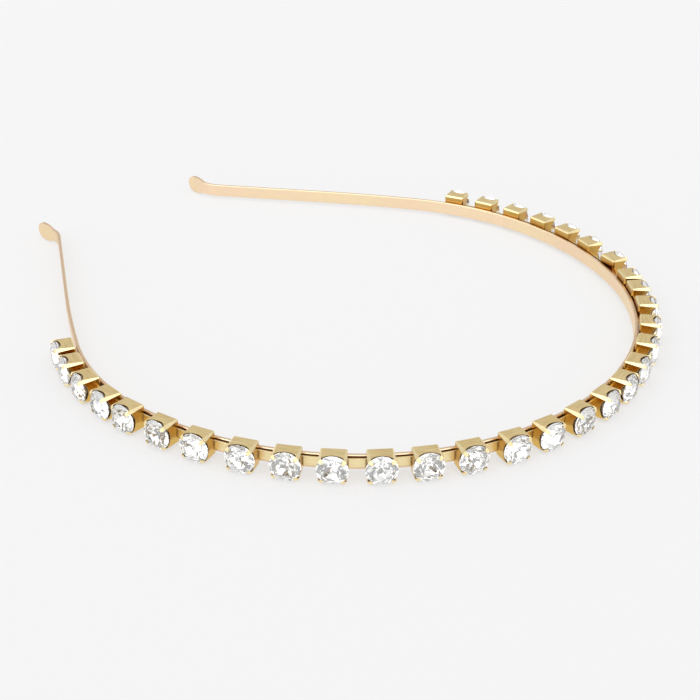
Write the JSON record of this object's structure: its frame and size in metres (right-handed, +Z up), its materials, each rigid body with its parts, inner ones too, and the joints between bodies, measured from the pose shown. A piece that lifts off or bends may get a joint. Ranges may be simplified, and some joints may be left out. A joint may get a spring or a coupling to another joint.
{
  "type": "crystal headband",
  "caption": "Narrow sprung metal headband with a soldered chain of square claw cups along its outside, each holding a round faceted crystal.",
  "frame": {"origin": "on the surface that the headband lies on, at the middle of its outline", "axes": "+Z up, across the band's width; +Y from the crown to the two tips; +X across the head, from the end of the chain nearer the picture's camera to the far end"},
  "size_m": [0.1402, 0.1595, 0.0063],
  "materials": {
    "band_metal": "pale rose gold plating on a steel strip, satin to polished",
    "cup_metal": "yellow gold plating on folded brass sheet, polished",
    "crystal": "clear cut glass with a silvered back"
  },
  "bodies": {
    "root": {"band": "band_metal", "cup_chain": "cup_metal", "stone_01": "crystal", "stone_02": "crystal", "stone_03": "crystal", "stone_04": "crystal", "stone_05": "crystal", "stone_06": "crystal", "stone_07": "crystal", "stone_08": "crystal", "stone_09": "crystal", "stone_10": "crystal", "stone_11": "crystal", "stone_12": "crystal", "stone_13": "crystal", "stone_14": "crystal", "stone_15": "crystal", "stone_16": "crystal", "stone_17": "crystal", "stone_18": "crystal", "stone_19": "crystal", "stone_20": "crystal", "stone_21": "crystal", "stone_22": "crystal", "stone_23": "crystal", "stone_24": "crystal", "stone_25": "crystal", "stone_26": "crystal", "stone_27": "crystal", "stone_28": "crystal", "stone_29": "crystal", "stone_30": "crystal", "stone_31": "crystal"}
  },
  "joints": []
}
